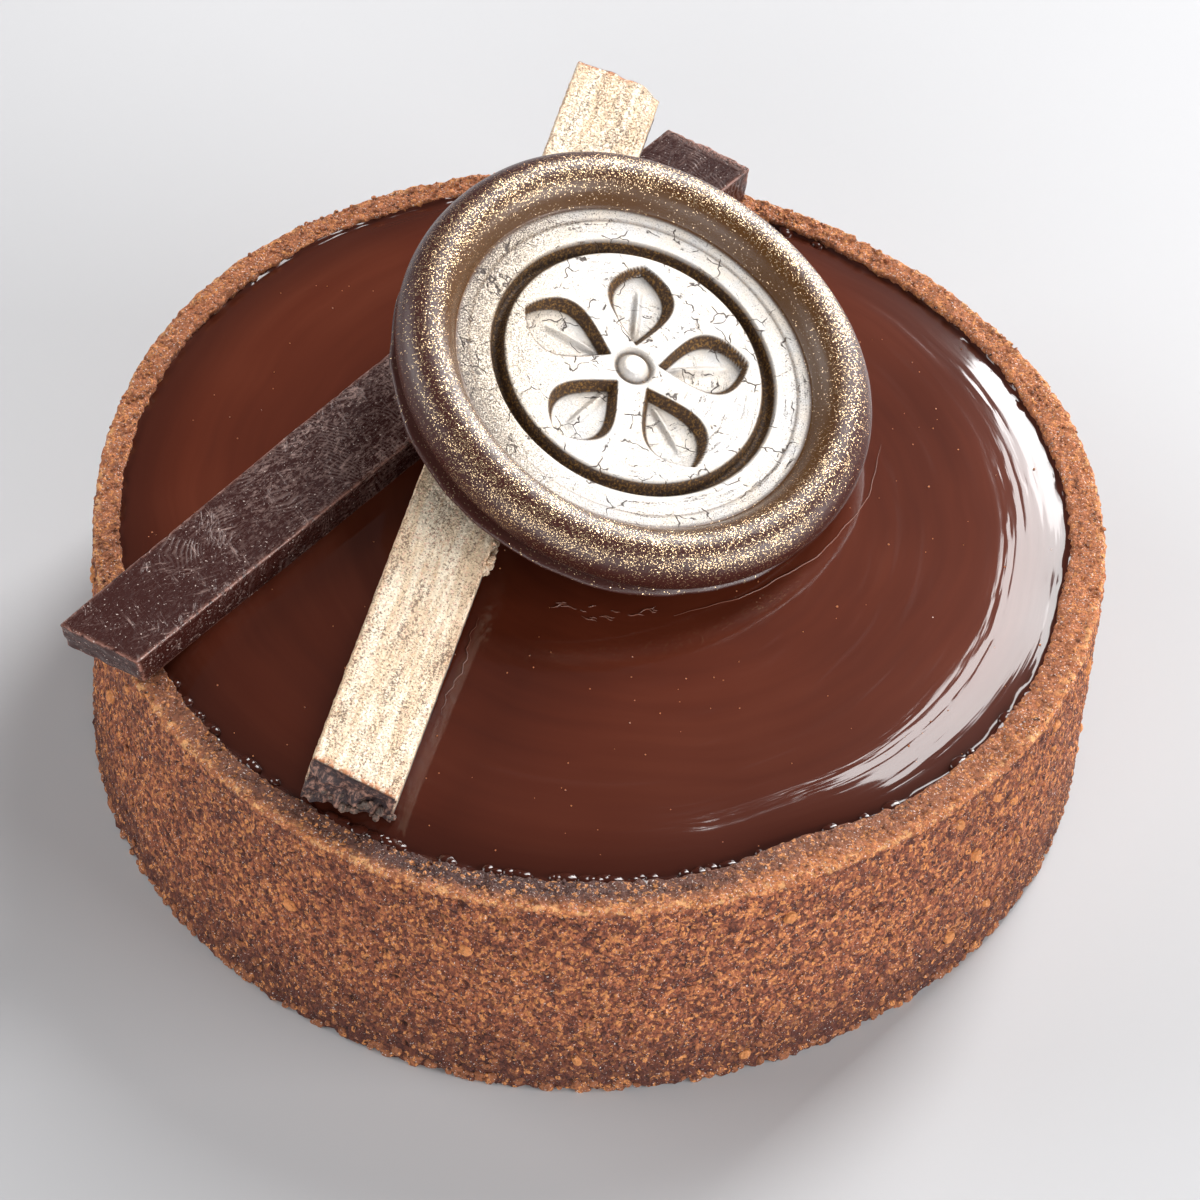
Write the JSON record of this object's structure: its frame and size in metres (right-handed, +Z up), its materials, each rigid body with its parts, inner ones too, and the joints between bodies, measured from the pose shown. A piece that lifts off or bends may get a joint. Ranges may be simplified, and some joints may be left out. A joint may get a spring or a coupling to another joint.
{
  "type": "chocolate tart",
  "caption": "Small round chocolate tart in a straight-sided cocoa crust, with glossy filling, two crossed chocolate sticks and a leaning round chocolate seal.",
  "frame": {"origin": "centre of the underside of the crust, on the plane it rests on", "axes": "+Z up along the axis of the round crust; +X to the right and +Y away from the side on which the gold stick comes down to the filling"},
  "size_m": [0.0761, 0.0773, 0.0355],
  "materials": {
    "cocoa_crust": "baked cocoa shortcrust: matte, sandy and finely pitted, with paler golden grains",
    "ganache": "mirror-glossy dark chocolate glaze with faint swirls",
    "dark_chocolate": "satin tempered dark chocolate with pale scuffs and cut ends",
    "gold_dusted_chocolate": "satin chocolate thickly dusted with pale gold powder",
    "bronze_dusted_chocolate": "glossy dark chocolate brushed with bronze-gold powder"
  },
  "bodies": {
    "root": {"crust": "cocoa_crust", "filling": "ganache", "dark_stick": "dark_chocolate", "gold_stick": "gold_dusted_chocolate", "seal": "bronze_dusted_chocolate"}
  },
  "joints": []
}
